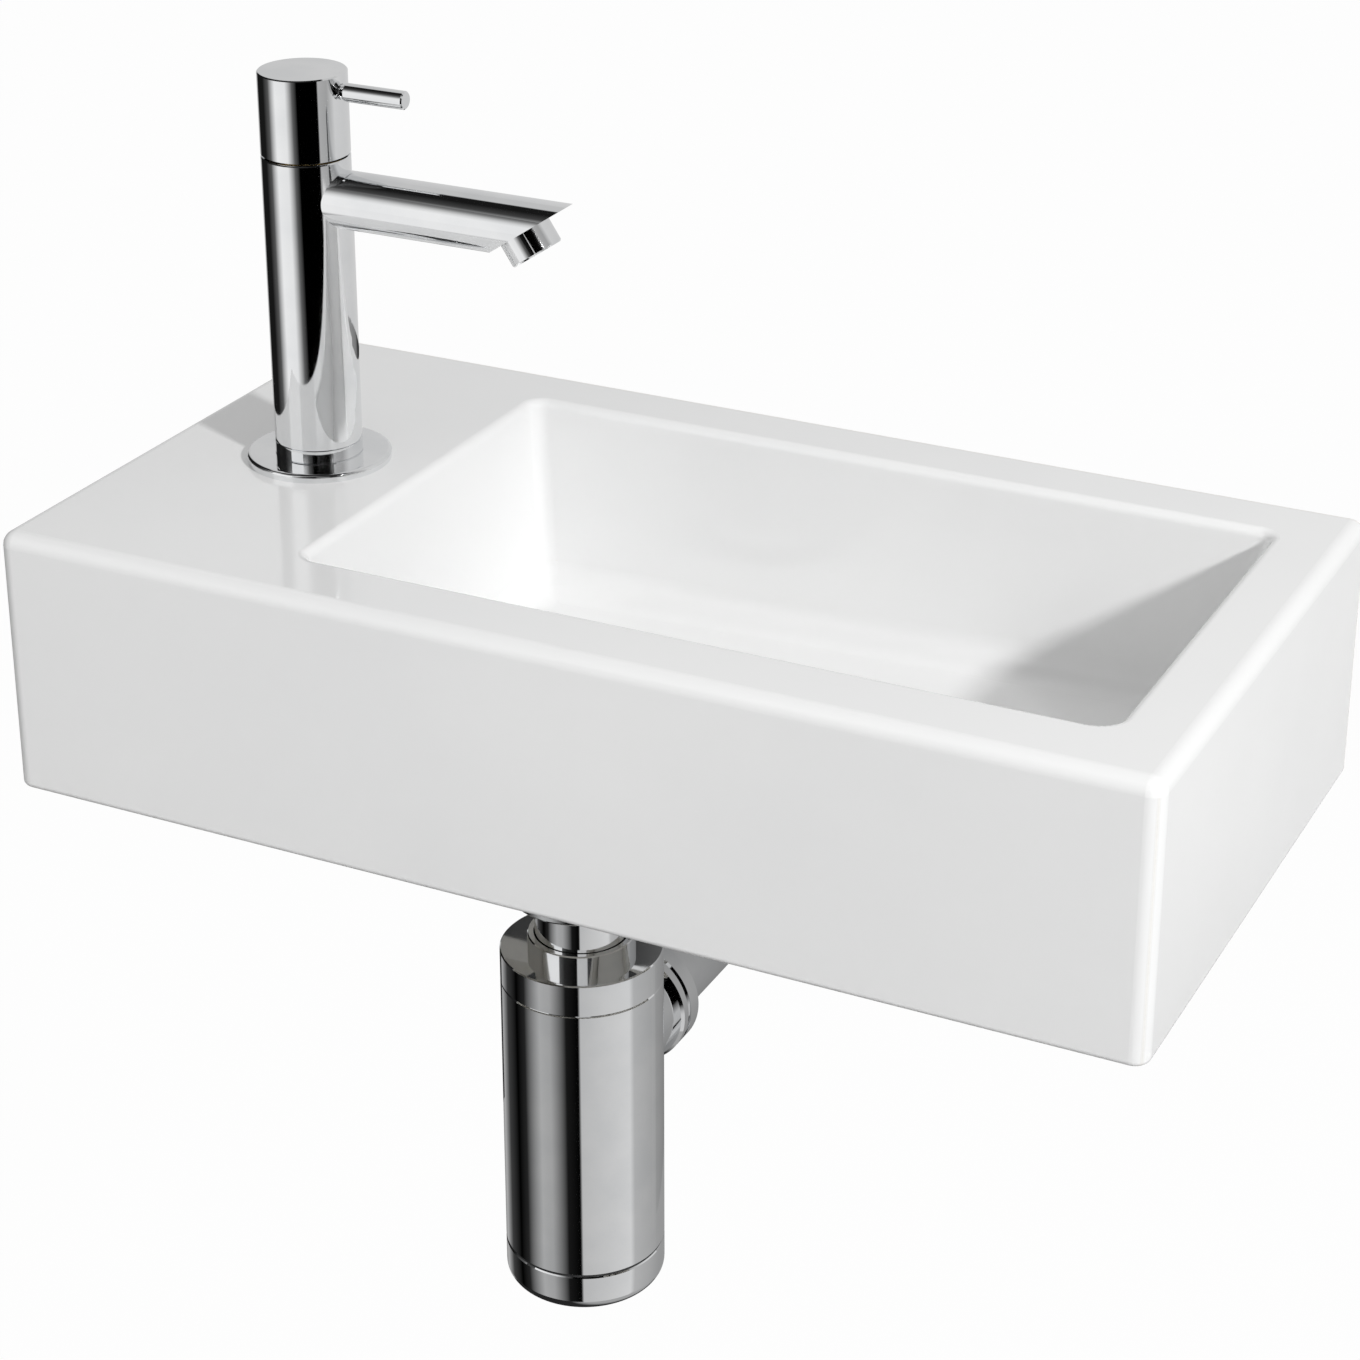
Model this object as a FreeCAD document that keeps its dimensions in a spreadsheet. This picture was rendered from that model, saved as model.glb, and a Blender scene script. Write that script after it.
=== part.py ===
import FreeCAD, Part
import math
import os
import re

import Sketcher

# Wall-hung hand basin with a cold-water pillar tap on its left deck and a bottle trap below.
# Millimetres. X runs to the right, Y into the wall, Z up. The origin lies on the wall,
# midway between the two fixing holes.

SIZES = {
    # Ceramic basin: block, rims and hollow underside
    "basin_width": 385,
    "basin_depth": 200,
    "basin_height": 90,
    "fixing_drop": 52,
    "fixing_inset": 19.5,
    "fixing_hole_radius": 6,
    "fixing_headroom": 15,
    "corner_round": 5.2,
    "edge_round": 5,
    "lower_round": 2,
    "deck_width": 96.5,
    "right_rim": 22.5,
    "back_rim": 21.5,
    "front_rim": 27,
    "rim_round": 3,
    "wall": 9,
    "skirt": 9,
    "back_wall": 14,
    "deck_thickness": 10,
    # Bowl: one sloping floor between leaning walls
    "bowl_depth": 69.5,
    "floor_fall_angle": 1.7,
    "left_lean_angle": 2.5,
    "right_lean_angle": 18,
    "floor_round": 11,
    "bowl_corner_round": 5,
    "front_corner_round": 8,
    # Waste seat in the bowl floor
    "drain_inset": 57.5,
    "drain_boss_radius": 35,
    "recess_radius": 33,
    "recess_depth": 3.5,
    "seat_thickness": 11,
    "waste_hole_radius": 22.5,
    # Tap hole
    "tap_inset": 57.5,
    "tap_hole_radius": 17.5,
    # Tap base, column and spout
    "flange_radius": 24,
    "flange_thickness": 2.8,
    "flange_round": 1.2,
    "hub_height": 4.4,
    "column_radius": 14.5,
    "seam": 0.4,
    "gasket_inner_radius": 18.5,
    "gasket_outer_radius": 22.5,
    "gasket_thickness": 1.2,
    "riser_radius": 6,
    "valve_seat_height": 81,
    "chamber_radius": 11,
    "chamber_depth": 23.6,
    "spout_rise": 10.3,
    "spout_radius": 9.5,
    "spout_bore_radius": 6,
    "spout_reach": 96,
    "spout_bore_end": 23,
    "spout_cut_angle": 34,
    # Aerator in the slanted end of the spout
    "nozzle_shift": 2.6,
    "nozzle_radius": 8.7,
    "nozzle_length": 8,
    "nozzle_edge": 0.5,
    "nozzle_thread_radius": 7.5,
    "nozzle_thread_length": 4.5,
    "nozzle_play": 0.2,
    "aerator_bore_radius": 6.6,
    "aerator_lip": 0.8,
    "aerator_seal_thickness": 1,
    "passage_radius": 5.2,
    "passage_depth": 8,
    "insert_play": 0.1,
    "insert_recess": 1,
    "jet_hole_radius": 0.9,
    "jet_circle_radius": 3.9,
    # Quarter-turn cartridge with two ceramic discs
    "cartridge_seal_radius": 9,
    "cartridge_seal_thickness": 2,
    "barrel_radius": 9.2,
    "barrel_wall": 0.9,
    "window_width": 6,
    "cartridge_thread_length": 8.6,
    "cartridge_flange_radius": 12,
    "cartridge_flange_height": 2.9,
    "disc_thickness": 3,
    "disc_play": 0.3,
    "disc_gap": 0.05,
    "port_inner": 2,
    "port_outer": 6.6,
    "port_inner_width": 2.4,
    "port_outer_width": 7,
    "driver_radius": 5,
    "driver_height": 3,
    "driver_play": 0.3,
    "key_width": 3,
    "key_depth": 1.2,
    "key_play": 0.05,
    "spindle_radius": 4,
    "spindle_play": 0.05,
    # Handle and its lever
    "handle_gap": 0.5,
    "handle_height": 27.3,
    "handle_hollow_radius": 12.5,
    "handle_hollow_height": 4,
    "handle_top": 2.6,
    "lever_drop": 5.5,
    "lever_radius": 3,
    "lever_thread_radius": 2.4,
    "lever_thread_play": 0.1,
    "lever_thread_length": 5.5,
    "lever_neck": 0.5,
    "lever_taper": 1.6,
    "lever_reach": 38,
    "lever_edge": 0.4,
    "grub_length": 4.4,
    # Threaded tail under the deck
    "tail_radius": 10.48,
    "tail_grip": 12,
    "tail_drop": 58,
    "tail_edge": 1,
    "tail_play": 0.2,
    "relief_width": 3,
    "relief_depth": 1.2,
    "rubber_washer_radius": 22,
    "rubber_washer_thickness": 3,
    "clamp_washer_radius": 21,
    "clamp_washer_thickness": 2,
    "tail_nut_flats": 30,
    "tail_nut_height": 8,
    # Free-flowing waste
    "waste_flange_radius": 31.5,
    "waste_flange_thickness": 2.2,
    "waste_flange_edge": 1,
    "waste_tail_radius": 20.95,
    "waste_tail_length": 62,
    "waste_bore_radius": 18,
    "waste_throat_depth": 4,
    "waste_seal_radius": 30,
    "waste_top_seal_thickness": 1.5,
    "waste_bottom_seal_thickness": 4,
    "waste_play": 0.2,
    "waste_nut_flats": 54,
    "waste_nut_height": 9,
    "spider_drop": 8,
    "spider_height": 6,
    "spider_hub_radius": 5.5,
    "spider_arm_width": 3,
    "cover_radius": 26,
    "cover_gap": 4,
    "cover_thickness": 3.4,
    "cover_edge": 1,
    "stem_radius": 3.1,
    "stem_play": 0.1,
    "stem_collar_radius": 4.6,
    # Bottle trap: inlet
    "tube_radius": 16,
    "tube_wall": 1,
    "tube_play": 0.4,
    "tube_flange_radius": 20.3,
    "tube_flange_thickness": 1.5,
    "inlet_seal_thickness": 3,
    "inlet_nut_radius": 25,
    "inlet_nut_grip": 14,
    "inlet_nut_lip": 3,
    "nut_edge": 1,
    # Bottle trap: cap, body and cup
    "trap_drop": 162,
    "trap_radius": 28,
    "trap_wall": 1.6,
    "cap_height": 11.9,
    "cap_top": 3,
    "collar_radius": 18.5,
    "collar_height": 5.7,
    "neck_radius": 25.5,
    "neck_play": 0.3,
    "neck_wall": 2,
    "neck_height": 6,
    "shoulder_thickness": 2.2,
    "trap_body_height": 104.2,
    "dip_depth": 252,
    "cup_height": 14.7,
    "cup_round": 5,
    "cup_floor": 2.5,
    "cup_spigot_height": 8,
    "cup_spigot_wall": 2,
    "cup_play": 0.3,
    "cup_seal_thickness": 0.8,
    "cup_seal_inset": 0.5,
    # Bottle trap: outlet
    "outlet_inset": 31.1,
    "outlet_boss_radius": 19.5,
    "outlet_boss_reach": 42,
    "outlet_boss_root": 20,
    "outlet_tube_inset": 27,
    "outlet_past_wall": 40,
    "stop_ring_width": 1,
    "stop_ring_depth": 0.4,
    "outlet_seal_thickness": 3,
    "outlet_nut_radius": 22,
    "outlet_nut_start": 34,
    "outlet_nut_length": 16,
    "outlet_nut_cone": 4,
    "outlet_groove_place": 4,
    "outlet_groove_width": 2,
    "outlet_groove_depth": 0.7,
    # Shared by all cuts
    "overrun": 2,
}
JET_HOLES = 8
DISC_PORTS = 2
SPIDER_ARMS = 3
NUT_SIDES = 6
NEAR = 0.001

doc = FreeCAD.newDocument("hand_basin")
sheet = doc.addObject("Spreadsheet::Sheet", "Sizes")
for row, (alias, number) in enumerate(SIZES.items(), start=1):
    sheet.set(f"A{row}", alias)
    sheet.set(f"B{row}", str(number))
    sheet.setAlias(f"B{row}", alias)
doc.recompute()


def bound(text):
    """The expression with the sheet named in front of each of its sizes."""
    return re.sub(r"[a-z][a-z_]+", lambda word: ("Sizes." if word[0] in SIZES else "") + word[0], text)


def new_body(label, place=("0", "0", "0")):
    """An empty body standing at a bound place."""
    body = doc.addObject("PartDesign::Body", label)
    body.Label = label
    for axis, text in zip("xyz", place):
        body.setExpression(f"Placement.Base.{axis}", bound(text))
    return body


def new_sketch(body, plane, offset="0"):
    """A sketch on one of the body's own planes, moved along that plane's normal."""
    sketch = body.newObject("Sketcher::SketchObject", f"{body.Label}_sketch")
    support = next(feature for feature in body.Origin.OriginFeatures if feature.Role == plane)
    sketch.AttachmentSupport = [(support, "")]
    sketch.MapMode = "FlatFace"
    sketch.setExpression("AttachmentOffset.Base.z", bound(offset))
    return sketch


def fix_point(sketch, geometry, end, across, up):
    """Hold one point of a sketch at bound distances from the sketch's origin."""
    for kind, text in (("DistanceX", across), ("DistanceY", up)):
        number = sketch.addConstraint(Sketcher.Constraint(kind, -1, 1, geometry, end, 1))
        sketch.setExpression(f"Constraints[{number}]", bound(text))


def draw_outline(sketch, points):
    """A closed outline of straight lines through bound points."""
    count = len(points)
    turns = [math.tau * corner / count for corner in range(count + 1)]
    rough = [FreeCAD.Vector(math.cos(turn), math.sin(turn), 0) for turn in turns]
    lines = [sketch.addGeometry(Part.LineSegment(*ends)) for ends in zip(rough, rough[1:])]
    for line, following in zip(lines, lines[1:] + lines[:1]):
        sketch.addConstraint(Sketcher.Constraint("Coincident", line, 2, following, 1))
    for line, (across, up) in zip(lines, points):
        fix_point(sketch, line, 1, across, up)


def draw_rectangle(sketch, left, right, low, high):
    """A rectangle between bound sides."""
    draw_outline(sketch, [(left, low), (right, low), (right, high), (left, high)])


def draw_circle(sketch, radius, across="0", up="0"):
    """A circle of bound radius round a bound centre."""
    unit_circle = Part.Circle(FreeCAD.Vector(0, 0, 0), FreeCAD.Vector(0, 0, 1), 1)
    circle = sketch.addGeometry(unit_circle)
    number = sketch.addConstraint(Sketcher.Constraint("Radius", circle, 1))
    sketch.setExpression(f"Constraints[{number}]", bound(radius))
    fix_point(sketch, circle, 3, across, up)


def draw_hexagon(sketch, flats):
    """A regular hexagon of bound width across its flats."""
    reach = f"{flats} / 2 / cos(180 / {NUT_SIDES})"
    turns = [f"(360 * {corner} / {NUT_SIDES})" for corner in range(NUT_SIDES)]
    draw_outline(sketch, [(f"{reach} * cos{turn}", f"{reach} * sin{turn}") for turn in turns])


def pad(body, sketch, length, reverse=False):
    """Grow a sketch along its normal."""
    feature = body.newObject("PartDesign::Pad", f"{body.Label}_pad")
    feature.Profile = sketch
    feature.setExpression("Length", bound(length))
    feature.Reversed = reverse
    return feature


def revolve(body, sketch, axis="V_Axis"):
    """Turn a sketch all the way round one of its own axes."""
    feature = body.newObject("PartDesign::Revolution", f"{body.Label}_turned")
    feature.Profile = sketch
    feature.ReferenceAxis = (sketch, [axis])
    return feature


def cut(body, sketch, length, along_normal=False, both_ways=False):
    """Cut a sketch into the body, against its normal unless told otherwise."""
    doc.recompute()
    before = body.Shape.Volume
    feature = body.newObject("PartDesign::Pocket", f"{body.Label}_cut")
    feature.Profile = sketch
    feature.setExpression("Length", bound(length))
    feature.Reversed = along_normal
    if both_ways:
        feature.SideType = "Symmetric"
    doc.recompute()
    if not body.Shape.Volume < before:
        raise RuntimeError(f"a cut in {body.Label} removed nothing")
    return feature


def repeat_round(body, feature, count):
    """Repeat a feature evenly round the body's own Z axis."""
    pattern = body.newObject("PartDesign::PolarPattern", f"{body.Label}_pattern")
    axis = next(line for line in body.Origin.OriginFeatures if line.Role == "Z_Axis")
    pattern.Originals = [feature]
    pattern.Axis = (axis, [""])
    pattern.Occurrences = count
    body.Tip = pattern
    return pattern


def round_edges(body, radius, wanted):
    """Round the edges of the body that the test picks out by their boxes."""
    doc.recompute()
    base = body.Tip
    numbered = enumerate(base.Shape.Edges, start=1)
    names = [f"Edge{number}" for number, edge in numbered if wanted(edge.BoundBox)]
    feature = body.newObject("PartDesign::Fillet", f"{body.Label}_round")
    feature.Base = (base, names)
    feature.setExpression("Radius", bound(radius))
    doc.recompute()
    return feature


def turned(label, place, outline, plane="XZ_Plane", axis="V_Axis"):
    """A piece turned from one outline of bound points, standing at a bound place."""
    body = new_body(label, place)
    sketch = new_sketch(body, plane)
    draw_outline(sketch, outline)
    revolve(body, sketch, axis)
    return body


def ring(label, place, inner, outer, low, high):
    """A flat ring: a seal or a washer."""
    corners = [(inner, low), (outer, low), (outer, high), (inner, high)]
    return turned(label, place, corners)


def hexagon_nut(label, place, flats, bore, low, height):
    """A six-sided nut with a plain bore at its thread's outer radius."""
    body = new_body(label, place)
    sides = new_sketch(body, "XY_Plane", low)
    draw_hexagon(sides, flats)
    pad(body, sides, height)
    hole = new_sketch(body, "XY_Plane", f"{low} + {height}")
    draw_circle(hole, bore)
    cut(body, hole, height)
    return body


# Places shared by the pieces
rim = "fixing_drop"
bottom = "(fixing_drop - basin_height)"
middle = "(-basin_depth / 2)"
tap_across = "(tap_inset - basin_width / 2)"
left_edge = "(deck_width - basin_width / 2)"
right_edge = "(basin_width / 2 - right_rim)"
drain_across = f"({left_edge} + drain_inset)"
tap_place = (tap_across, middle, rim)
drain_place = (drain_across, middle, rim)
waste_seat = "(-bowl_depth - recess_depth)"
under_seat = f"({waste_seat} - seat_thickness)"


def wall_foot(edge, lean, inward, floor_depth):
    """Where a bowl wall that leans inward from its edge on the rim meets the sloping floor."""
    level = f"({floor_depth} - ({edge} - {drain_across}) * tan(floor_fall_angle))"
    drop = f"({level} / (1 {inward} tan({lean}) * tan(floor_fall_angle)))"
    return f"({edge} {inward} {drop} * tan({lean}))", f"({rim} - {drop})"


def wall_point(edge, lean, inward, drop):
    """A point of a leaning bowl wall at a given drop below the rim."""
    return f"({edge} {inward} ({drop}) * tan({lean}))", f"({rim} - ({drop}))"


def make_basin():
    """The ceramic: a block with a bowl sunk into its top and a hollow underside."""
    body = new_body("basin_body")
    plan = new_sketch(body, "XY_Plane", bottom)
    draw_rectangle(plan, "-basin_width / 2", "basin_width / 2", "-basin_depth", "0")
    pad(body, plan, "basin_height")

    depth = sheet.get("basin_depth")
    rim_level = sheet.get("fixing_drop")
    low_level = rim_level - sheet.get("basin_height")
    front = sheet.get("front_rim") - depth
    back = -sheet.get("back_rim")
    round_edges(body, "corner_round", lambda box: box.YMax < NEAR - depth and box.ZLength > NEAR)
    round_edges(body, "edge_round", lambda box: box.ZMin > rim_level - NEAR and box.YMin < -NEAR)
    round_edges(body, "lower_round", lambda box: box.ZMax < low_level + NEAR and box.YMin < -NEAR)

    # The bowl's section, carried from the front rim to the back rim
    bowl =new_sketch(body, "XZ_Plane", "basin_depth - front_rim")
    draw_outline(bowl, [
        wall_point(left_edge, "left_lean_angle", "+", "-overrun"),
        wall_foot(left_edge, "left_lean_angle", "+", "bowl_depth"),
        wall_foot(right_edge, "right_lean_angle", "-", "bowl_depth"),
        wall_point(right_edge, "right_lean_angle", "-", "-overrun"),
    ])
    cut(body, bowl, "basin_depth - front_rim - back_rim")

    def in_bowl(box):
        return box.YMin > front - NEAR and box.YMax < back + NEAR

    def below_rim(box):
        return in_bowl(box) and box.ZMin < rim_level - NEAR

    def upright(box):
        return below_rim(box) and box.ZMax > rim_level - NEAR

    def in_front_corner(box):
        return box.XMin > 0 and box.YMax < -depth / 2

    round_edges(body, "floor_round", lambda box: below_rim(box) and not upright(box))
    round_edges(body, "bowl_corner_round", lambda box: upright(box) and not in_front_corner(box))
    round_edges(body, "front_corner_round", lambda box: upright(box) and in_front_corner(box))
    round_edges(body, "rim_round", lambda box: in_bowl(box) and not below_rim(box))

    # The hollow underside follows the bowl at one wall's thickness, and runs up inside the front rim
    outer_left = f"({left_edge} - wall / cos(left_lean_angle))"
    outer_right = f"({right_edge} + wall / cos(right_lean_angle))"
    outer_depth = "(bowl_depth + wall / cos(floor_fall_angle))"
    ceiling = "(fixing_drop - deck_thickness)"
    hollow = new_sketch(body, "XZ_Plane", "basin_depth - skirt")
    draw_outline(hollow, [
        ("skirt - basin_width / 2", f"{bottom} - overrun"),
        ("skirt - basin_width / 2", ceiling),
        wall_point(outer_left, "left_lean_angle", "+", "deck_thickness"),
        wall_foot(outer_left, "left_lean_angle", "+", outer_depth),
        wall_foot(outer_right, "right_lean_angle", "-", outer_depth),
        wall_point(outer_right, "right_lean_angle", "-", "fixing_drop - fixing_headroom"),
        ("basin_width / 2 - skirt", "fixing_headroom"),
        ("basin_width / 2 - skirt", f"{bottom} - overrun"),
    ])
    cut(body, hollow, "basin_depth - skirt - back_wall")
    front_channel = new_sketch(body, "XZ_Plane", "basin_depth - skirt")
    draw_rectangle(front_channel, outer_left, outer_right, f"{bottom} - overrun", ceiling)
    cut(body, front_channel, "front_rim - skirt - wall")

    # The waste's flat seat: a boss below, a recess above and the hole through both
    boss = new_sketch(body, "XY_Plane", f"{rim} + {under_seat}")
    draw_circle(boss, "drain_boss_radius", drain_across, middle)
    pad(body, boss, "seat_thickness")
    recess = new_sketch(body, "XY_Plane", f"{rim} + {waste_seat}")
    draw_circle(recess, "recess_radius", drain_across, middle)
    cut(body, recess, "recess_depth + overrun", along_normal=True)
    drain = new_sketch(body, "XY_Plane", f"{rim} + {waste_seat}")
    draw_circle(drain, "waste_hole_radius", drain_across, middle)
    cut(body, drain, "seat_thickness + overrun")

    tap_hole = new_sketch(body, "XY_Plane", rim)
    draw_circle(tap_hole, "tap_hole_radius", tap_across, middle)
    cut(body, tap_hole, "deck_thickness + overrun")

    for side in ("-", ""):
        fixing = new_sketch(body, "XZ_Plane")
        draw_circle(fixing, "fixing_hole_radius", f"{side}(basin_width / 2 - fixing_inset)")
        cut(body, fixing, "back_wall + overrun", along_normal=True)
    return body


# Heights on the tap, from the deck up
hub_top = "(flange_thickness + hub_height)"
tail_top = f"({hub_top} + tail_grip)"
spout_height = "(valve_seat_height + spout_rise)"
column_height = "(valve_seat_height + chamber_depth)"
barrel_low = "(valve_seat_height + cartridge_seal_thickness)"
barrel_high = f"({column_height} - cartridge_thread_length)"
fixed_disc_top = f"({barrel_low} + disc_thickness)"
moving_disc_low = f"({fixed_disc_top} + disc_gap)"
moving_disc_top = f"({moving_disc_low} + disc_thickness)"
driver_top = f"({moving_disc_top} + driver_height)"
handle_low = f"({column_height} + handle_gap)"
handle_high = f"({handle_low} + handle_height)"
spindle_high = f"({handle_high} - handle_top)"
lever_height = f"({handle_high} - lever_drop)"


def make_tap_base():
    """The base plate with its hub, the gasket in its groove, and the clamped tail below."""
    flange = turned("tap_flange", tap_place, [
        ("tail_radius", "0"),
        ("gasket_inner_radius", "0"),
        ("gasket_inner_radius", "gasket_thickness"),
        ("gasket_outer_radius", "gasket_thickness"),
        ("gasket_outer_radius", "0"),
        ("flange_radius", "0"),
        ("flange_radius", "flange_thickness"),
        ("column_radius - seam", "flange_thickness"),
        ("column_radius", "flange_thickness + seam"),
        ("column_radius", hub_top),
        ("tail_radius", hub_top),
    ])
    plate_top = sheet.get("flange_thickness")
    plate_reach = sheet.get("flange_radius")
    round_edges(flange, "flange_round", lambda box: box.ZMin > plate_top - NEAR and box.XMax > plate_reach - NEAR)
    ring("tap_base_gasket", tap_place, "gasket_inner_radius", "gasket_outer_radius", "0", "gasket_thickness")
    rubber_low = "(-deck_thickness - rubber_washer_thickness)"
    clamp_low = f"({rubber_low} - clamp_washer_thickness)"
    nut_low = f"({clamp_low} - tail_nut_height)"
    relief_low = f"({nut_low} - relief_width)"
    turned("tap_tail", tap_place, [
        ("riser_radius", "-tail_drop"),
        ("tail_radius - tail_edge", "-tail_drop"),
        ("tail_radius", "tail_edge - tail_drop"),
        ("tail_radius", relief_low),
        ("tail_radius - relief_depth", relief_low),
        ("tail_radius - relief_depth", nut_low),
        ("tail_radius", nut_low),
        ("tail_radius", tail_top),
        ("riser_radius", tail_top),
    ])
    washer_bore = "tail_radius + tail_play"
    ring("tail_rubber_washer", tap_place, washer_bore, "rubber_washer_radius", rubber_low, "-deck_thickness")
    ring("tail_clamp_washer", tap_place, washer_bore, "clamp_washer_radius", clamp_low, rubber_low)
    hexagon_nut("tail_backnut", tap_place, "tail_nut_flats", "tail_radius", nut_low, "tail_nut_height")


def make_tap_column():
    """The column: a tail socket below, a riser, and the cartridge chamber above its seat."""
    body = turned("tap_column", tap_place, [
        ("tail_radius", hub_top),
        ("column_radius - seam", hub_top),
        ("column_radius", f"{hub_top} + seam"),
        ("column_radius", f"{column_height} - seam"),
        ("column_radius - seam", column_height),
        ("chamber_radius", column_height),
        ("chamber_radius", "valve_seat_height"),
        ("riser_radius", "valve_seat_height"),
        ("riser_radius", tail_top),
        ("tail_radius", tail_top),
    ])
    port = new_sketch(body, "YZ_Plane")
    draw_circle(port, "spout_bore_radius", "0", spout_height)
    cut(body, port, "column_radius + overrun", along_normal=True)
    return body


# The aerator's axis leaves the slanted end square, a little below the middle of the cut
cut_middle = "(spout_reach - spout_radius / tan(spout_cut_angle))"
nozzle_across = f"({cut_middle} - nozzle_shift * cos(spout_cut_angle))"
nozzle_up = f"({spout_height} - nozzle_shift * sin(spout_cut_angle))"


def tilt_to_nozzle(placed, name):
    """Turn a placement so that its Z axis points out of the nozzle."""
    turn = FreeCAD.Placement(FreeCAD.Vector(), FreeCAD.Rotation(FreeCAD.Vector(0, 1, 0), 1))
    setattr(placed, name, turn)
    placed.setExpression(f"{name}.Rotation.Angle", bound("180 - spout_cut_angle"))


def make_spout():
    """The spout: a bored bar coped to the column, cut slanting, with a socket for the aerator."""
    body = new_body("tap_spout", tap_place)
    section = new_sketch(body, "YZ_Plane")
    draw_circle(section, "spout_radius", "0", spout_height)
    pad(body, section, "spout_reach")
    slant = new_sketch(body, "XZ_Plane")
    run = "overrun / tan(spout_cut_angle)"
    low = f"{spout_height} - spout_radius - overrun"
    high = f"{spout_height} + spout_radius + overrun"
    draw_outline(slant, [
        (f"{cut_middle} - spout_radius / tan(spout_cut_angle) - {run}", low),
        (f"spout_reach + {run}", low),
        (f"spout_reach + {run}", high),
    ])
    cut(body, slant, "(spout_radius + overrun) * 2", both_ways=True)
    cope = new_sketch(body, "XY_Plane", high)
    draw_circle(cope, "column_radius")
    cut(body, cope, "(spout_radius + overrun) * 2")
    bore = new_sketch(body, "YZ_Plane")
    draw_circle(bore, "spout_bore_radius", "0", spout_height)
    cut(body, bore, "spout_reach - spout_bore_end", along_normal=True)
    sockets = (
        ("nozzle_thread_radius + nozzle_play", "nozzle_thread_length + aerator_seal_thickness"),
        ("passage_radius", "passage_depth"),
    )
    for radius, length in sockets:
        socket = new_sketch(body, "XY_Plane")
        tilt_to_nozzle(socket, "AttachmentOffset")
        socket.setExpression("AttachmentOffset.Base.x", bound(nozzle_across))
        socket.setExpression("AttachmentOffset.Base.z", bound(nozzle_up))
        draw_circle(socket, radius)
        cut(body, socket, length)
    return body


def make_aerator():
    """The nozzle ring, its plastic jet straightener and the seal above them, along the nozzle's axis."""
    place = (f"{tap_across} + {nozzle_across}", middle, f"{rim} + {nozzle_up}")
    housing = turned("aerator_housing", place, [
        ("aerator_bore_radius", "-nozzle_thread_length"),
        ("nozzle_thread_radius", "-nozzle_thread_length"),
        ("nozzle_thread_radius", "0"),
        ("nozzle_radius", "0"),
        ("nozzle_radius", "nozzle_length - nozzle_edge"),
        ("nozzle_radius - nozzle_edge", "nozzle_length"),
        ("aerator_bore_radius - aerator_lip", "nozzle_length"),
        ("aerator_bore_radius - aerator_lip", "nozzle_length - aerator_lip"),
        ("aerator_bore_radius", "nozzle_length - aerator_lip"),
    ])
    insert = new_body("aerator_insert", place)
    disc = new_sketch(insert, "XY_Plane", "nozzle_length - aerator_lip")
    draw_circle(disc, "aerator_bore_radius - insert_play")
    insert_height = "(nozzle_length - aerator_lip + nozzle_thread_length - insert_recess)"
    pad(insert, disc, insert_height, reverse=True)
    middle_jet = new_sketch(insert, "XY_Plane", "nozzle_length - aerator_lip")
    draw_circle(middle_jet, "jet_hole_radius")
    cut(insert, middle_jet, insert_height)
    outer_jet = new_sketch(insert, "XY_Plane", "nozzle_length - aerator_lip")
    draw_circle(outer_jet, "jet_hole_radius", "jet_circle_radius")
    repeat_round(insert, cut(insert, outer_jet, insert_height), JET_HOLES)
    seal_low = "-nozzle_thread_length - aerator_seal_thickness"
    seal = ring(
        "aerator_seal", place, "passage_radius", "nozzle_thread_radius", seal_low, "-nozzle_thread_length"
    )
    for piece in (housing, insert, seal):
        tilt_to_nozzle(piece, "Placement")


def make_disc(label, radius, low, across_spout):
    """A ceramic disc with two opposite ports, which lie along the spout or across it."""
    body = new_body(label, tap_place)
    face = new_sketch(body, "XY_Plane", low)
    draw_circle(face, radius)
    pad(body, face, "disc_thickness")
    port = new_sketch(body, "XY_Plane", f"{low} + disc_thickness")
    corners = [
        ("port_inner", "-port_inner_width / 2"),
        ("port_outer", "-port_outer_width / 2"),
        ("port_outer", "port_outer_width / 2"),
        ("port_inner", "port_inner_width / 2"),
    ]
    draw_outline(port, [(up, across) for across, up in corners] if across_spout else corners)
    repeat_round(body, cut(body, port, "disc_thickness"), DISC_PORTS)
    return body


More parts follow.
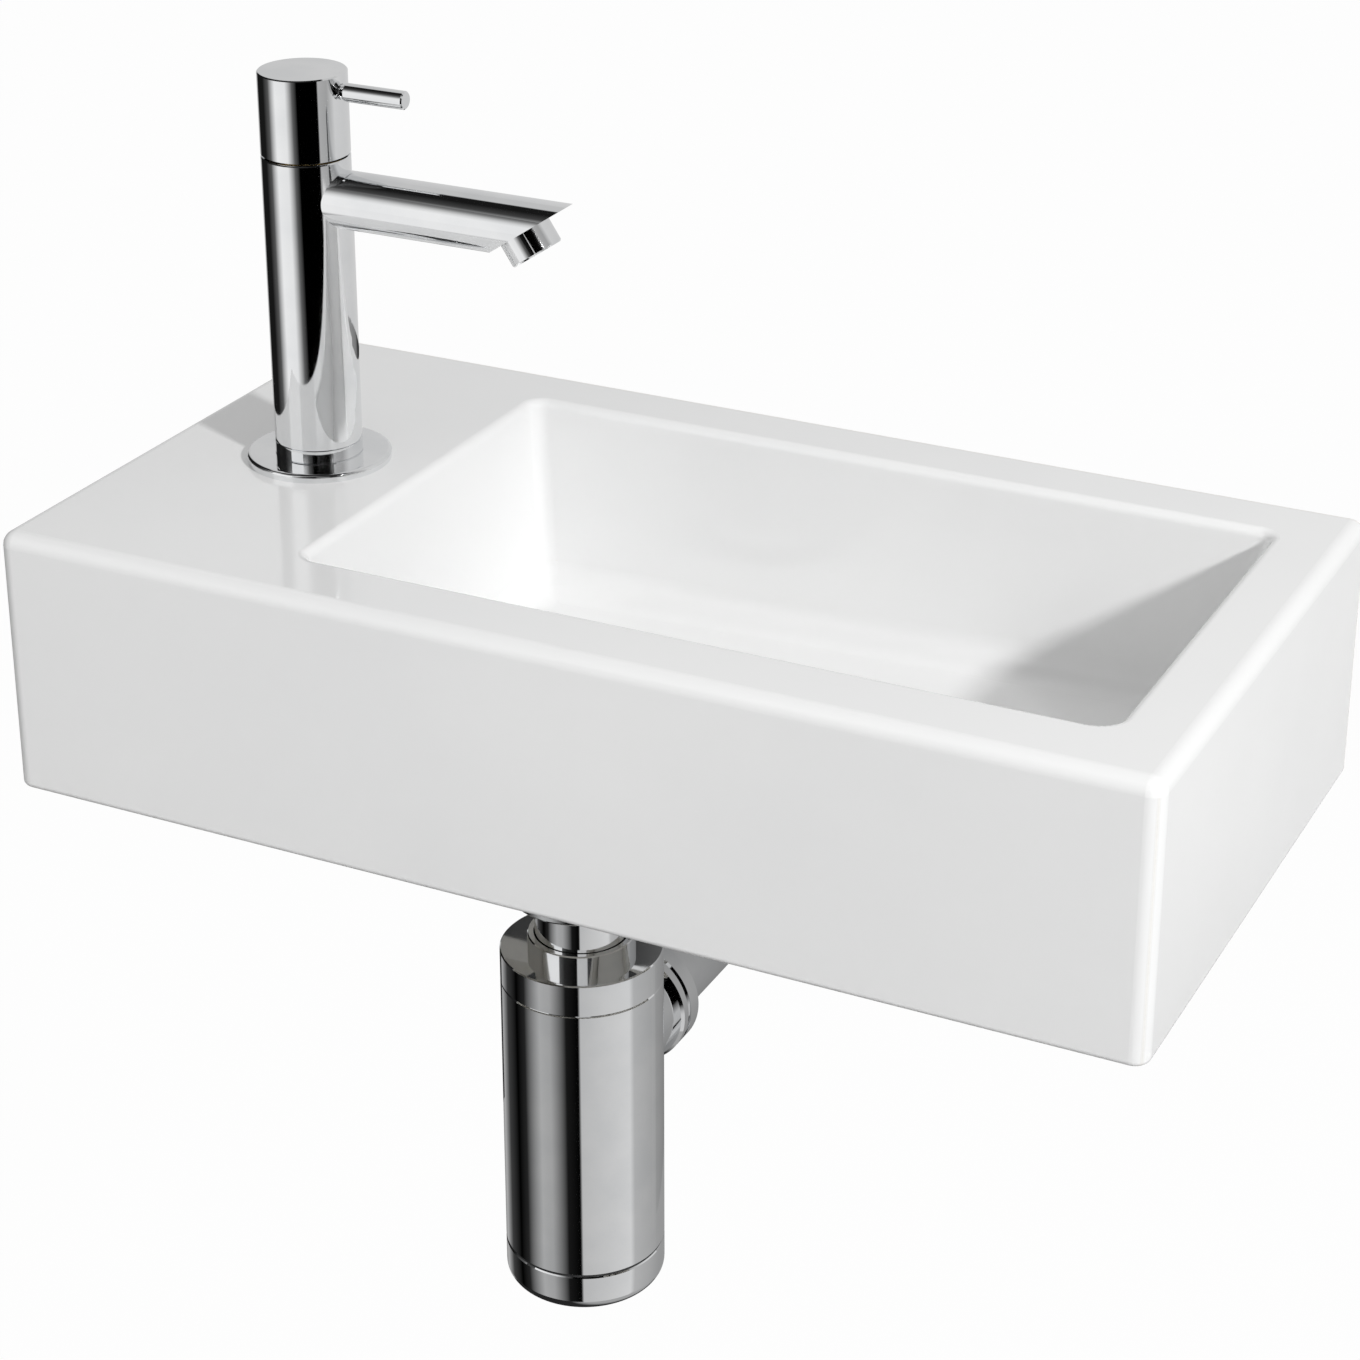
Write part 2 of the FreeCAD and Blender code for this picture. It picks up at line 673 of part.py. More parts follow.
def make_cartridge():
    """The headwork: seat seal, barrel with windows, two discs, and the spindle that turns one of them."""
    ring(
        "cartridge_seal", tap_place, "riser_radius", "cartridge_seal_radius", "valve_seat_height", barrel_low
    )
    barrel_bore = "(barrel_radius - barrel_wall)"
    barrel_ceiling = f"({driver_top} + driver_play)"
    flange_high = f"{column_height} + cartridge_flange_height"
    body = turned("cartridge_body", tap_place, [
        (barrel_bore, barrel_low),
        ("barrel_radius", barrel_low),
        ("barrel_radius", barrel_high),
        ("chamber_radius", barrel_high),
        ("chamber_radius", column_height),
        ("cartridge_flange_radius", column_height),
        ("cartridge_flange_radius", flange_high),
        ("spindle_radius + spindle_play", flange_high),
        ("spindle_radius + spindle_play", barrel_ceiling),
        (barrel_bore, barrel_ceiling),
    ])
    windows = new_sketch(body, "YZ_Plane")
    draw_rectangle(windows, "-window_width / 2", "window_width / 2", moving_disc_top, barrel_ceiling)
    cut(body, windows, "(barrel_radius + overrun) * 2", both_ways=True)

    make_disc("fixed_disc", barrel_bore, barrel_low, across_spout=True)
    moving = make_disc("moving_disc", f"{barrel_bore} - disc_play", moving_disc_low, across_spout=False)
    slot = new_sketch(moving, "XY_Plane", moving_disc_top)
    draw_rectangle(slot, "-key_width / 2", "key_width / 2", "-driver_radius", "driver_radius")
    cut(moving, slot, "key_depth")

    spindle = turned("valve_spindle", tap_place, [
        ("0", moving_disc_top),
        ("driver_radius", moving_disc_top),
        ("driver_radius", driver_top),
        ("spindle_radius", driver_top),
        ("spindle_radius", spindle_high),
        ("0", spindle_high),
    ])
    key = new_sketch(spindle, "XY_Plane", moving_disc_top)
    half_width = "(key_width / 2 - key_play)"
    half_length = "(driver_radius - key_width / 2)"
    draw_rectangle(key, f"-{half_width}", half_width, f"-{half_length}", half_length)
    pad(spindle, key, "key_depth - key_play", reverse=True)


def make_handle():
    """The handle over the spindle, its grub screw, and the lever screwed in after it."""
    body = turned("handle_cap", tap_place, [
        ("handle_hollow_radius", handle_low),
        ("column_radius - seam", handle_low),
        ("column_radius", f"{handle_low} + seam"),
        ("column_radius", f"{handle_high} - seam"),
        ("column_radius - seam", handle_high),
        ("0", handle_high),
        ("0", f"{spindle_high} + spindle_play"),
        ("spindle_radius + spindle_play", f"{spindle_high} + spindle_play"),
        ("spindle_radius + spindle_play", f"{handle_low} + handle_hollow_height"),
        ("handle_hollow_radius", f"{handle_low} + handle_hollow_height"),
    ])
    hole = new_sketch(body, "YZ_Plane")
    draw_circle(hole, "lever_thread_radius + lever_thread_play", "0", lever_height)
    cut(body, hole, "column_radius + overrun", along_normal=True)

    lever_place = (tap_across, middle, f"{rim} + {lever_height}")
    grub_start = "(spindle_radius + spindle_play)"
    turned("handle_grub_screw", lever_place, [
        (grub_start, "0"),
        (f"{grub_start} + grub_length", "0"),
        (f"{grub_start} + grub_length", "lever_thread_radius"),
        (grub_start, "lever_thread_radius"),
    ], axis="H_Axis")
    neck_end = "(column_radius + lever_neck)"
    turned("lever_pin", lever_place, [
        ("column_radius - lever_thread_length", "0"),
        ("lever_reach", "0"),
        ("lever_reach", "lever_radius - lever_edge"),
        ("lever_reach - lever_edge", "lever_radius"),
        (f"{neck_end} + lever_taper", "lever_radius"),
        (neck_end, "lever_thread_radius"),
        ("column_radius - lever_thread_length", "lever_thread_radius"),
    ], axis="H_Axis")


# Heights on the waste and trap, from the rim down
waste_flange_low = f"({waste_seat} + waste_top_seal_thickness)"
waste_flange_top = f"({waste_flange_low} + waste_flange_thickness)"
waste_tail_low = f"({waste_flange_low} - waste_tail_length)"
spider_top = f"({waste_flange_low} - spider_drop)"
spider_low = f"({spider_top} - spider_height)"
tube_top = f"({waste_tail_low} - inlet_seal_thickness)"
tube_flange_low = f"({tube_top} - tube_flange_thickness)"
tube_bore = "(tube_radius - tube_wall)"
cap_low = "(-trap_drop - cap_height)"
body_low = f"({cap_low} - trap_body_height)"
outlet_level = f"({cap_low} - outlet_inset)"
cup_high = f"({body_low} - cup_seal_thickness)"
cup_low = f"({cup_high} - cup_height)"
trap_bore = "(trap_radius - trap_wall)"


def make_waste():
    """The waste body with a spider across its bore, the lift-out cover, its seals and backnut."""
    body = turned("waste_body", drain_place, [
        ("waste_bore_radius", waste_tail_low),
        ("waste_tail_radius", waste_tail_low),
        ("waste_tail_radius", waste_flange_low),
        ("waste_flange_radius", waste_flange_low),
        ("waste_flange_radius", f"{waste_flange_top} - waste_flange_edge"),
        ("waste_flange_radius - waste_flange_edge", waste_flange_top),
        ("waste_bore_radius + waste_throat_depth", waste_flange_top),
        ("waste_bore_radius", f"{waste_flange_top} - waste_throat_depth"),
    ])
    hub = new_sketch(body, "XY_Plane", spider_top)
    draw_circle(hub, "spider_hub_radius")
    arm = new_sketch(body, "XY_Plane", spider_top)
    arm_end = "(waste_bore_radius + waste_tail_radius) / 2"
    draw_rectangle(arm, "0", arm_end, "-spider_arm_width / 2", "spider_arm_width / 2")
    repeat_round(body, pad(body, arm, "spider_height", reverse=True), SPIDER_ARMS)
    pad(body, hub, "spider_height", reverse=True)
    stem_hole = new_sketch(body, "XY_Plane", spider_top)
    draw_circle(stem_hole, "stem_radius + stem_play")
    cut(body, stem_hole, "spider_height")

    cover_low = f"({waste_flange_top} + cover_gap)"
    cover_high = f"({cover_low} + cover_thickness)"
    turned("waste_cover", drain_place, [
        ("0", spider_low),
        ("stem_radius", spider_low),
        ("stem_radius", spider_top),
        ("stem_collar_radius", spider_top),
        ("stem_collar_radius", cover_low),
        ("cover_radius - cover_edge", cover_low),
        ("cover_radius", f"{cover_low} + cover_edge"),
        ("cover_radius - cover_edge", f"{cover_high} - cover_edge"),
        ("cover_radius / 2", f"{cover_high} - cover_edge / 4"),
        ("0", cover_high),
    ])
    seal_bore = "waste_tail_radius + waste_play"
    ring("waste_top_seal", drain_place, seal_bore, "waste_seal_radius", waste_seat, waste_flange_low)
    seal_low = f"({under_seat} - waste_bottom_seal_thickness)"
    ring("waste_bottom_seal", drain_place, seal_bore, "waste_seal_radius", seal_low, under_seat)
    nut_low = f"({seal_low} - waste_nut_height)"
    hexagon_nut("waste_backnut", drain_place, "waste_nut_flats", "waste_tail_radius", nut_low, "waste_nut_height")


def make_trap_inlet():
    """The tube that hangs from the waste in its union nut and dips into the trap."""
    ring("inlet_seal", drain_place, tube_bore, "tube_flange_radius", tube_top, waste_tail_low)
    turned("inlet_tube", drain_place, [
        (tube_bore, "-dip_depth"),
        ("tube_radius", "-dip_depth"),
        ("tube_radius", tube_flange_low),
        ("tube_flange_radius", tube_flange_low),
        ("tube_flange_radius", tube_top),
        (tube_bore, tube_top),
    ])
    nut_high = f"({waste_tail_low} + inlet_nut_grip)"
    nut_low = f"({tube_flange_low} - inlet_nut_lip)"
    turned("inlet_union_nut", drain_place, [
        ("waste_tail_radius", nut_high),
        ("inlet_nut_radius - nut_edge", nut_high),
        ("inlet_nut_radius", f"{nut_high} - nut_edge"),
        ("inlet_nut_radius", f"{nut_low} + nut_edge"),
        ("inlet_nut_radius - nut_edge", nut_low),
        ("tube_radius + tube_play", nut_low),
        ("tube_radius + tube_play", tube_flange_low),
        ("waste_tail_radius", tube_flange_low),
    ])


def make_trap():
    """The bottle: a cap that squeezes a seal on the tube, the body with its outlet, and the cup below."""
    cap_ceiling = "(-trap_drop - cap_top)"
    neck_top = f"({cap_low} + neck_height)"
    turned("trap_top_cap", drain_place, [
        ("tube_radius + tube_play", "collar_height - trap_drop"),
        ("collar_radius - seam", "collar_height - trap_drop"),
        ("collar_radius", "collar_height - trap_drop - seam"),
        ("collar_radius", "-trap_drop"),
        ("trap_radius - seam", "-trap_drop"),
        ("trap_radius", "-trap_drop - seam"),
        ("trap_radius", f"{cap_low} + seam"),
        ("trap_radius - seam", cap_low),
        ("neck_radius + neck_play", cap_low),
        ("neck_radius + neck_play", cap_ceiling),
        ("tube_radius + tube_play", cap_ceiling),
    ])
    ring("trap_top_seal", drain_place, "tube_radius", "neck_radius", neck_top, cap_ceiling)

    body = turned("trap_body", drain_place, [
        ("0", neck_top),
        ("neck_radius", neck_top),
        ("neck_radius", cap_low),
        ("trap_radius - seam", cap_low),
        ("trap_radius", f"{cap_low} - seam"),
        ("trap_radius", f"{body_low} + seam"),
        ("trap_radius - seam", body_low),
        ("0", body_low),
    ])
    boss = new_sketch(body, "XZ_Plane", "-outlet_boss_reach")
    draw_circle(boss, "outlet_boss_radius", "0", outlet_level)
    pad(body, boss, "outlet_boss_reach - outlet_boss_root")
    main_bore = new_sketch(body, "XY_Plane", body_low)
    draw_circle(main_bore, trap_bore)
    cut(body, main_bore, "trap_body_height - shoulder_thickness", along_normal=True)
    neck_bore = new_sketch(body, "XY_Plane", neck_top)
    draw_circle(neck_bore, "neck_radius - neck_wall")
    cut(body, neck_bore, "neck_height + shoulder_thickness")
    outlet_bore = new_sketch(body, "XZ_Plane", "-outlet_boss_reach")
    draw_circle(outlet_bore, "tube_radius + tube_play", "0", outlet_level)
    cut(body, outlet_bore, "outlet_boss_reach", along_normal=True)

    spigot_radius = f"({trap_bore} - cup_play)"
    spigot_bore = f"({spigot_radius} - cup_spigot_wall)"
    spigot_high = f"({cup_high} + cup_spigot_height)"
    cup = turned("trap_cup", drain_place, [
        ("0", cup_low),
        ("trap_radius", cup_low),
        ("trap_radius", f"{cup_high} - seam"),
        ("trap_radius - seam", cup_high),
        (spigot_radius, cup_high),
        (spigot_radius, spigot_high),
        (spigot_bore, spigot_high),
        (spigot_bore, f"{cup_low} + cup_floor"),
        ("0", f"{cup_low} + cup_floor"),
    ])
    doc.recompute()
    lowest = cup.Tip.Shape.BoundBox.ZMin
    round_edges(cup, "cup_round", lambda box: box.ZMax < lowest + NEAR)
    ring("trap_cup_seal", drain_place, trap_bore, "trap_radius - cup_seal_inset", cup_high, body_low)


def make_trap_outlet():
    """The tube to the wall, grooved where its union nut ends, clamped over a seal on the outlet boss."""
    place = (drain_across, middle, f"{rim} + {outlet_level}")
    seal_end = "(outlet_boss_reach + outlet_seal_thickness)"
    turned("outlet_seal", place, [
        ("tube_radius", "outlet_boss_reach"),
        ("outlet_boss_radius", "outlet_boss_reach"),
        ("outlet_boss_radius", seal_end),
        ("tube_radius", seal_end),
    ], plane="XY_Plane")
    nut_end = "(outlet_nut_start + outlet_nut_length)"
    stop_end = f"({nut_end} + stop_ring_width)"
    wall_end = "(basin_depth / 2 + outlet_past_wall)"
    turned("outlet_tube", place, [
        (tube_bore, "outlet_tube_inset"),
        ("tube_radius", "outlet_tube_inset"),
        ("tube_radius", nut_end),
        ("tube_radius - stop_ring_depth", nut_end),
        ("tube_radius - stop_ring_depth", stop_end),
        ("tube_radius", stop_end),
        ("tube_radius", wall_end),
        (tube_bore, wall_end),
    ], plane="XY_Plane")
    groove_start = "(outlet_nut_start + outlet_groove_place)"
    groove_end = f"({groove_start} + outlet_groove_width)"
    groove_floor = "(outlet_nut_radius - outlet_groove_depth)"
    turned("outlet_union_nut", place, [
        ("outlet_boss_radius", "outlet_nut_start"),
        ("outlet_nut_radius - nut_edge", "outlet_nut_start"),
        ("outlet_nut_radius", "outlet_nut_start + nut_edge"),
        ("outlet_nut_radius", groove_start),
        (groove_floor, groove_start),
        (groove_floor, groove_end),
        ("outlet_nut_radius", groove_end),
        ("outlet_nut_radius", f"{nut_end} - outlet_nut_cone"),
        ("outlet_nut_radius - outlet_nut_cone", nut_end),
        ("tube_radius + tube_play", nut_end),
        ("tube_radius + tube_play", seal_end),
        ("outlet_boss_radius", seal_end),
    ], plane="XY_Plane")


make_basin()
make_tap_base()
make_tap_column()
make_spout()
make_aerator()
make_cartridge()
make_handle()
make_waste()
make_trap_inlet()
make_trap()
make_trap_outlet()
doc.recompute()

for item in doc.Objects:
    if "Invalid" in item.State or "Error" in item.State:
        raise RuntimeError(f"{item.Label} failed: {item.State}")
pieces = [item for item in doc.Objects if item.TypeId == "PartDesign::Body"]
for piece in pieces:
    if piece.Shape.isNull() or not piece.Shape.isValid() or len(piece.Shape.Solids) != 1:
        raise RuntimeError(f"{piece.Label} is not one valid solid")
os.makedirs("parts", exist_ok=True)
for piece in pieces:
    piece.Shape.exportStep(f"parts/{piece.Label}.step")
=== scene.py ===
import math

import bmesh
import bpy
import numpy as np
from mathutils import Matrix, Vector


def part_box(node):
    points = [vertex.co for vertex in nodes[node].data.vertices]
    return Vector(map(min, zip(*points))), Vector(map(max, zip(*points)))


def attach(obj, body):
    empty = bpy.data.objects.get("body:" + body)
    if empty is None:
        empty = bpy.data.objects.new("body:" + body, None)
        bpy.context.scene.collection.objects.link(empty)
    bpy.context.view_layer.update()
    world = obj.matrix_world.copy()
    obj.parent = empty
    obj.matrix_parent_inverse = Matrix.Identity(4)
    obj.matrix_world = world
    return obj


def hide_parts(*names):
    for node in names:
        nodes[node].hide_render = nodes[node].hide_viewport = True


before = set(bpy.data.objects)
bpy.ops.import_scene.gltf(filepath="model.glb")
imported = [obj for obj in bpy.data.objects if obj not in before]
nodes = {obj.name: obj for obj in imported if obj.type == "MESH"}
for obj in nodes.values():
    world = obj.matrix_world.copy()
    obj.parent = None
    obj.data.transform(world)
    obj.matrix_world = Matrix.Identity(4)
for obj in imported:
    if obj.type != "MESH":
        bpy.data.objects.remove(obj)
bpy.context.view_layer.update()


# The basin: one piece of slip-cast vitreous china, dipped in white glaze and fired.
# Its back and the foot of its skirt are wiped clean of glaze before firing, so they stay bare and dull. The
# hollow underneath is painted with the same darker clay colour as painted shade, and made as dull.

def new_finish(name):
    """A material, the node tree that makes it, and its shader."""
    finish = bpy.data.materials.new(name)
    finish.use_nodes = True
    return finish, finish.node_tree, finish.node_tree.nodes["Principled BSDF"]


def add_node(tree, kind, settings=None, operands=(), **inputs):
    """A shader node with its settings made; an input given as a socket is linked, any other is set."""
    made = tree.nodes.new(kind)
    for name, value in (settings or {}).items():
        setattr(made, name, value)
    named = [(made.inputs[name.replace("_", " ")], value) for name, value in inputs.items()]
    for socket, value in [*zip(made.inputs, operands), *named]:
        if isinstance(value, bpy.types.NodeSocket):
            tree.links.new(value, socket)
        else:
            socket.default_value = value
    return made


def add_math(tree, operation, *operands):
    """The result of one Math node."""
    return add_node(tree, "ShaderNodeMath", {"operation": operation}, operands).outputs["Value"]


def add_axes(tree, kind="Object"):
    """The X, Y and Z of the piece's own coordinates, or of its UV map or its normal."""
    place = add_node(tree, "ShaderNodeTexCoord").outputs[kind]
    return add_node(tree, "ShaderNodeSeparateXYZ", Vector=place).outputs


def add_ramp(tree, factor, stops):
    """A colour ramp over a factor; its stops are places from 0 to 1 with a grey or a colour each."""
    made = add_node(tree, "ShaderNodeValToRGB", Fac=factor)
    ramp = made.color_ramp
    while len(ramp.elements) < len(stops):
        ramp.elements.new(1.0)
    for element, (place, shade) in zip(ramp.elements, stops):
        element.position = place
        element.color = (*(shade if isinstance(shade, tuple) else (shade,) * 3), 1.0)
    return made.outputs["Color"]


def add_shades(tree, factor, dark, pale, start=0.3, end=0.7):
    """A colour that goes from dark to pale while a factor goes from a start to an end."""
    return add_ramp(tree, factor, [(start, dark), (end, pale)])


def add_range(tree, factor, low, high, start=0.3, end=0.7):
    """A factor between a start and an end, spread from a low to a high value."""
    made = add_node(
        tree, "ShaderNodeMapRange", Value=factor, From_Min=start, From_Max=end, To_Min=low, To_Max=high
    )
    return made.outputs["Result"]


def add_noise(tree, grains, detail=2.0):
    """Noise over the piece's own coordinates, with so many grains to the metre."""
    place = add_node(tree, "ShaderNodeTexCoord").outputs["Object"]
    return add_node(tree, "ShaderNodeTexNoise", Vector=place, Scale=grains, Detail=detail).outputs["Fac"]


def add_bump(tree, pattern, strength, height, **under):
    """The normal of a surface that a pattern raises by up to a height in metres."""
    made = add_node(tree, "ShaderNodeBump", Height=pattern, Strength=strength, Distance=height, **under)
    return made.outputs["Normal"]


def link_looks(tree, shader, **looks):
    """Link sockets to the shader's inputs of the names given."""
    for name, socket in looks.items():
        tree.links.new(socket, shader.inputs[name.replace("_", " ")])


def dress(finish, *names):
    """Give the named CAD nodes a finish of this scene in place of their plain one."""
    for name in names:
        for slot in nodes[name].material_slots:
            slot.material = finish


glaze, tree, shader = new_finish("white_glaze")
basin_low, basin_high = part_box("basin_body")
bare_depth, outer_skin, skirt_depth = 0.0006, 0.002, 0.018
level_share = 0.01
where = add_axes(tree)
facing = add_axes(tree, "Normal")
at_back = add_range(tree, where["Y"], 0.0, 1.0, basin_high.y - bare_depth, basin_high.y)
at_foot = add_range(tree, where["Z"], 0.0, 1.0, basin_low.z + bare_depth, basin_low.z)

# Painted shade in the hollow underneath: its faces look down, or are upright and no further than the skirt's
# depth from an outer face
from_middle = add_math(tree, "ABSOLUTE", where["X"])
from_side = add_range(tree, from_middle, basin_high.x, 0.0, 0.0, basin_high.x)
from_front = add_math(tree, "ADD", where["Y"], -basin_low.y)
from_back = add_range(tree, where["Y"], basin_high.y - basin_low.y, 0.0, basin_low.y, basin_high.y)
from_outside = add_math(tree, "MINIMUM", add_math(tree, "MINIMUM", from_side, from_front), from_back)
in_skirt = add_range(tree, from_outside, 1.0, 0.0, skirt_depth, skirt_depth + outer_skin)
under_skin = add_range(tree, from_outside, 0.0, 1.0, outer_skin / 2, outer_skin)
upright = add_range(tree, facing["Z"], 1.0, 0.0, level_share, 2.0 * level_share)
downward = add_range(tree, facing["Z"], 1.0, 0.0, -2.0 * level_share, -level_share)
painted_shade_hollow = add_math(tree, "MAXIMUM", add_math(tree, "MULTIPLY", in_skirt, upright), downward)
painted_shade_hollow = add_math(tree, "MULTIPLY", painted_shade_hollow, under_skin)
# Bare clay at the back and the foot, and painted shade over the hollow, both in the clay colour
bare_clay_and_painted_shade = add_math(tree, "MAXIMUM", painted_shade_hollow, add_math(tree, "MAXIMUM", at_back, at_foot))

thin_glaze, thick_glaze = (0.868, 0.870, 0.870), (0.892, 0.893, 0.890)
# The bare clay's colours, which also paint shade over the hollow underneath
dark_clay_and_shade, pale_clay_and_shade = (0.68, 0.66, 0.61), (0.75, 0.73, 0.68)
glossiest, least_glossy = 0.05, 0.11
clay_roughness = (0.8, 0.8, 0.8, 1.0)
cloud = add_noise(tree, grains=9.0, detail=3.0)
glaze_shades = add_shades(tree, cloud, thin_glaze, thick_glaze)
clay_and_painted_shade = add_shades(tree, add_noise(tree, grains=900.0, detail=4.0), dark_clay_and_shade, pale_clay_and_shade)
skin = add_node(tree, "ShaderNodeMixRGB", Fac=bare_clay_and_painted_shade, Color1=glaze_shades, Color2=clay_and_painted_shade)
gloss = add_range(tree, cloud, glossiest, least_glossy, 0.0, 1.0)
dull = add_node(tree, "ShaderNodeMixRGB", Fac=bare_clay_and_painted_shade, Color1=gloss, Color2=clay_roughness)
wave = add_bump(tree, add_noise(tree, grains=22.0, detail=1.0), strength=0.35, height=0.0006)
peel = add_bump(tree, add_noise(tree, grains=260.0), strength=0.2, height=0.00003, Normal=wave)
link_looks(tree, shader, Base_Color=skin.outputs["Color"], Roughness=dull.outputs["Color"], Normal=peel)
shader.inputs["IOR"].default_value = 1.52
dress(glaze, "basin_body")


# The tap's base plate, column and spout: brass bar, turned, bored and soldered, then polished and plated
# with nickel and chrome. The plating keeps a faint haze from wiping.

def mottled_finish(name, grains, detail, dark, pale, smooth, rough, start=0.3, end=0.7):
    """A material, its tree and its shader. One noise leads the colour from dark to pale, between a start and
    an end, and the roughness from smooth to rough."""
    finish, tree, shader = new_finish(name)
    mottle = add_noise(tree, grains, detail)
    shades = add_shades(tree, mottle, dark, pale, start, end)
    link_looks(tree, shader, Base_Color=shades, Roughness=add_range(tree, mottle, smooth, rough))
    return finish, tree, shader


chrome, _, shader = mottled_finish(
    "polished_chrome", grains=60.0, detail=4.0, dark=(0.80, 0.81, 0.82), pale=(0.86, 0.865, 0.87),
    start=0.35, end=0.65, smooth=0.025, rough=0.06,
)
shader.inputs["Metallic"].default_value = 1.0
dress(chrome, "tap_flange", "tap_column", "tap_spout")


# The aerator: a chromed ring screwed into the slanted end of the spout. In it sits a moulded plastic disc
# whose holes straighten the jet.

plastic, tree, shader = mottled_finish(
    "moulded_plastic", grains=400.0, detail=3.0, dark=(0.52, 0.53, 0.54), pale=(0.60, 0.605, 0.61),
    smooth=0.36, rough=0.5,
)
link_looks(tree, shader, Normal=add_bump(tree, add_noise(tree, grains=3000.0), strength=0.3, height=0.00004))
dress(chrome, "aerator_housing")
dress(plastic, "aerator_insert")


# The headwork inside the column: a barrel and a spindle turned from bare brass, and two lapped discs of
# fired ceramic, one of which turns with the spindle.

brass, tree, shader = mottled_finish(
    "turned_brass", grains=120.0, detail=3.0, dark=(0.63, 0.44, 0.18), pale=(0.77, 0.58, 0.28),
    smooth=0.18, rough=0.34,
)
place = add_node(tree, "ShaderNodeTexCoord").outputs["Object"]
tool_lines = add_node(
    tree, "ShaderNodeTexWave", {"wave_type": "BANDS", "bands_direction": "Z"}, Vector=place, Scale=800.0,
    Distortion=1.5, Detail=1.0,
)
link_looks(tree, shader, Normal=add_bump(tree, tool_lines.outputs["Fac"], strength=0.3, height=0.00002))
shader.inputs["Metallic"].default_value = 1.0

lapped, _, _ = mottled_finish(
    "lapped_ceramic", grains=1500.0, detail=4.0, dark=(0.74, 0.72, 0.66), pale=(0.82, 0.80, 0.75),
    smooth=0.18, rough=0.3,
)
dress(brass, "cartridge_body", "valve_spindle")
dress(lapped, "fixed_disc", "moving_disc")


# The handle: a chromed cap on the spindle, clamped by a zinc-plated grub screw, with the lever's rod
# screwed in after it.

zinc, _, shader = mottled_finish(
    "zinc_plate", grains=250.0, detail=4.0, dark=(0.50, 0.52, 0.55), pale=(0.66, 0.68, 0.70),
    smooth=0.25, rough=0.42,
)
shader.inputs["Metallic"].default_value = 1.0
dress(chrome, "handle_cap", "lever_pin")
dress(zinc, "handle_grub_screw")


# The tap's tail: a brass tube with a half-inch pipe thread, which carries the tap through the deck. A zinc
# washer and a bevelled brass nut below the deck clamp it.

sides = 96
turns = np.linspace(0.0, math.tau, sides, endpoint=False)


def turned_grid(axis, *runs, angles=turns):
    """Points of a section carried round an upright axis. Each run of the section is radii, one to a row or
    one to a row and angle, and heights. A point is the axis plus its radius times the cosine and sine."""
    heights = np.concatenate([np.ravel(high) for _, high in runs])
    rows = [np.reshape(wide, (np.size(high), -1)) for wide, high in runs]
    radii = np.vstack([np.broadcast_to(wide, (len(wide), angles.size)) for wide in rows])
    across = axis[0] + radii * np.cos(angles)
    along = axis[1] + radii * np.sin(angles)
    return np.stack([across, along, np.broadcast_to(heights[:, None], radii.shape)], axis=-1)


def new_piece(name, finish, slot, body, stands_for, *grids):
    """A piece through grids of points, in place of a CAD node: quads join each row to the next and the last
    column to the first. Welding equal points closes a section that ends where it began, and its poles."""
    counts = np.cumsum([0] + [grid[..., 0].size for grid in grids])
    quads = []
    for grid, first in zip(grids, counts):
        number = first + np.arange(grid[..., 0].size).reshape(grid.shape[:2])
        beside = np.roll(number, -1, axis=1)
        quads.append(np.stack([number[:-1], beside[:-1], beside[1:], number[1:]], axis=-1).reshape(-1, 4))
    points = np.concatenate([grid.reshape(-1, 3) for grid in grids])
    mesh = bpy.data.meshes.new(name)
    mesh.from_pydata(points.tolist(), [], np.concatenate(quads).tolist())
    weld_distance = 1e-7
    sharp_angle = math.radians(40)
    shell = bmesh.new()
    shell.from_mesh(mesh)
    bmesh.ops.remove_doubles(shell, verts=shell.verts, dist=weld_distance)
    bmesh.ops.recalc_face_normals(shell, faces=shell.faces)
    shell.to_mesh(mesh)
    shell.free()
    mesh.polygons.foreach_set("use_smooth", np.ones(len(mesh.polygons), dtype=bool))
    mesh.set_sharp_from_angle(angle=sharp_angle)
    mesh.materials.append(finish)
    piece = bpy.data.objects.new(name, mesh)
    bpy.context.scene.collection.objects.link(piece)
    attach(piece, body)
    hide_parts(stands_for)


def thread_radii(outer, depth, pitch, heights):
    """A right-hand thread: the outer radius less a share of its depth. The share is a triangular wave of
    height over pitch less angle over a turn, with its crests and roots cut flat."""
    flat_share = 0.12
    wave = np.abs(2.0 * ((heights[:, None] / pitch - turns / math.tau) % 1.0) - 1.0)
    return outer - depth * np.clip((wave - flat_share) / (1.0 - 2.0 * flat_share), 0.0, 1.0)


def axis_of(node):
    """The upright axis through the middle of a CAD node's box, and half the box's width."""
    low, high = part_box(node)
    return ((low.x + high.x) / 2, (low.y + high.y) / 2), (high.x - low.x) / 2


def nut_grid(axis, flats, bore, low, high):
    """A six-sided nut. Its outer radius is the hexagon's, half the flats over the cosine of the angle from
    the nearest flat, or that of the cone that bevels each end where the cone is smaller."""
    sixth = math.tau / 6
    bevel_share = 0.965
    bevel_slope = math.tan(math.radians(60))
    bevel_rows = 14
    lead = 0.0008
    hexagon = flats / 2 / np.cos(turns % sixth - sixth / 2)
    bevel_height = (hexagon.max() - flats / 2 * bevel_share) / bevel_slope
    near_end = np.linspace(0.0, bevel_height, bevel_rows)
    heights = np.concatenate([low + near_end, high - near_end[::-1]])
    from_end = np.minimum(heights - low, high - heights)
    outside = np.minimum(hexagon, (flats / 2 * bevel_share + bevel_slope * from_end)[:, None])
    inside = ([bore + lead, bore, bore, bore + lead], [high, high - lead, low + lead, low])
    return turned_grid(axis, ([bore + lead], [low]), (outside, heights), inside)


